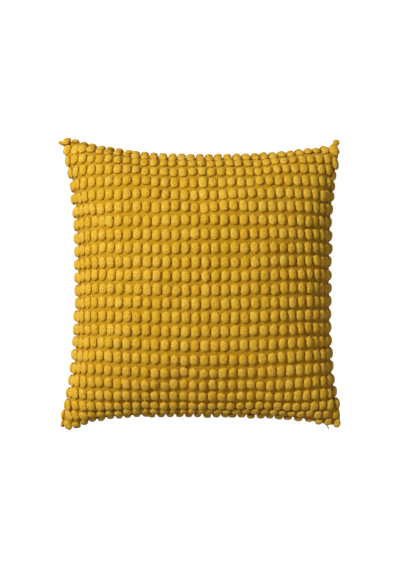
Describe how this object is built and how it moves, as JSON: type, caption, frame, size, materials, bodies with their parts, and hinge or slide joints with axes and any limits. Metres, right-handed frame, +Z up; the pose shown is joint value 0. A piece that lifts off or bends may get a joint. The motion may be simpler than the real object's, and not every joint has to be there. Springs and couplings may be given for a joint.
{
  "type": "filled cushion cover with raised chenille bobbles",
  "caption": "Square mustard cushion cover, filled and lying on its back, its front covered in even rows of raised fluffy chenille bobbles on a plain woven ground.",
  "frame": {"origin": "on the surface the cushion lies on, under the middle of its outline", "axes": "+Z up through its thickness towards the bobbled front, +X to the right of the front, +Y towards its top edge"},
  "size_m": [0.6108, 0.6204, 0.2125],
  "materials": {
    "cloth": "plain woven ground with fluffy cut chenille bobbles, matte"
  },
  "bodies": {
    "root": {"cushion": "cloth"}
  },
  "joints": []
}
